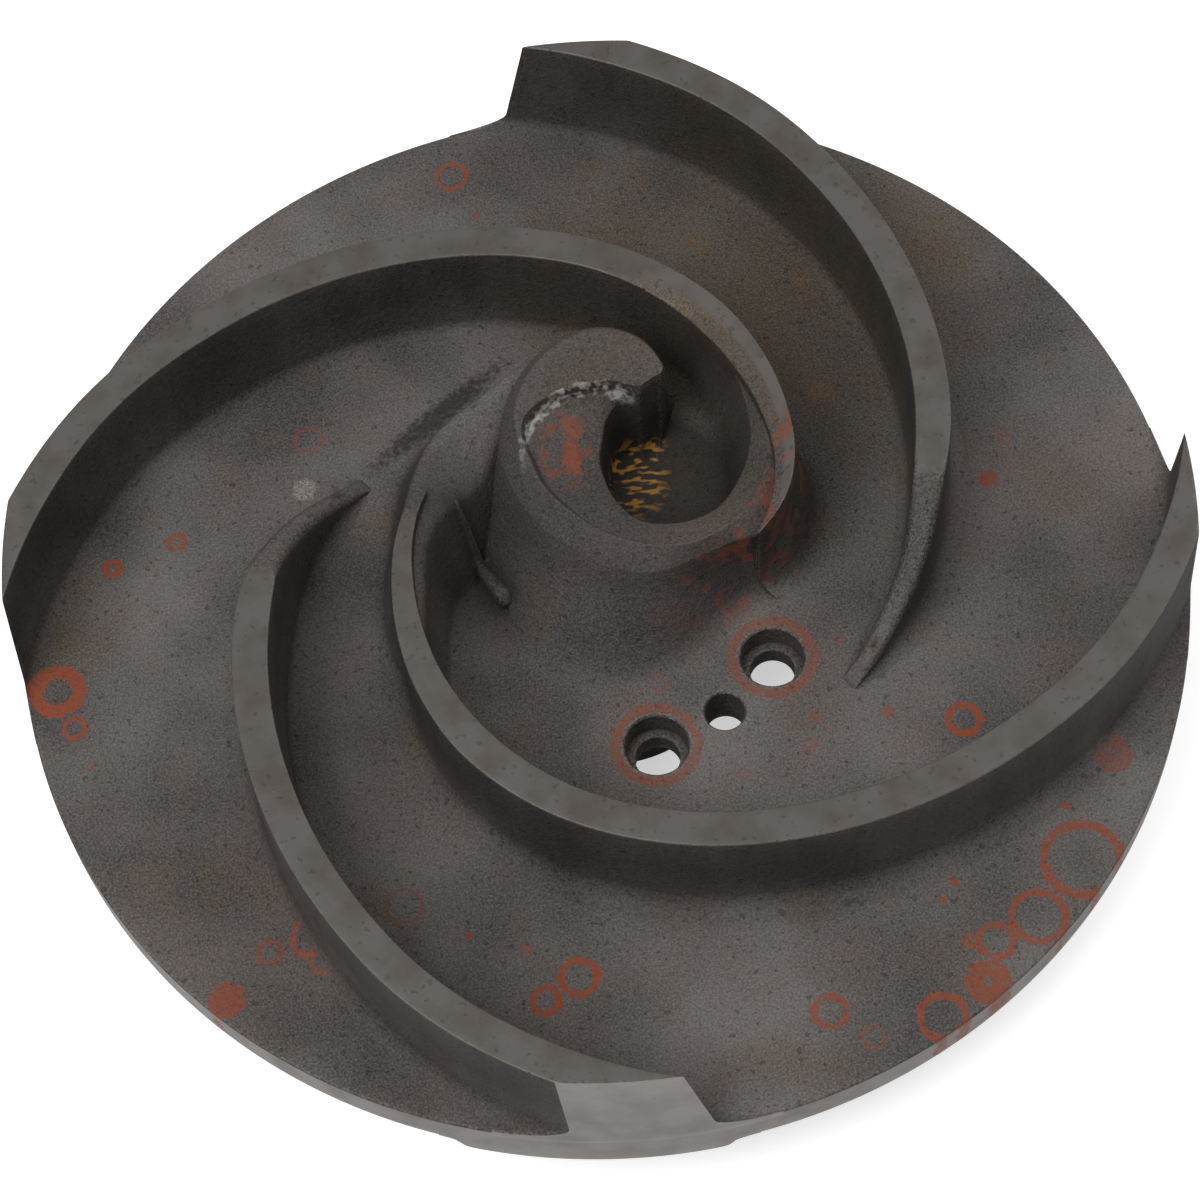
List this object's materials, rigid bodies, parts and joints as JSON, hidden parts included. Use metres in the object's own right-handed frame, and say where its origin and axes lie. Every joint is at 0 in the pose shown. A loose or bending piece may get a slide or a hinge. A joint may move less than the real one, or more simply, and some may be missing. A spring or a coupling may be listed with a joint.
{
  "type": "pump impeller",
  "caption": "Semi-open centrifugal pump impeller in cast iron: a disc with backward-curved spiral vanes, an off-centre nose and a keyed rear hub.",
  "frame": {"origin": "on the rotation axis, in the end face of the rear hub on which the casting stands", "axes": "+Z along the rotation axis towards the suction side; +X towards the tip of one long vane"},
  "size_m": [0.35, 0.35, 0.0865],
  "materials": {
    "casting": "old cast iron, dark and slightly glossy, with orange rust rings"
  },
  "bodies": {
    "root": {"impeller": "casting"}
  },
  "joints": []
}
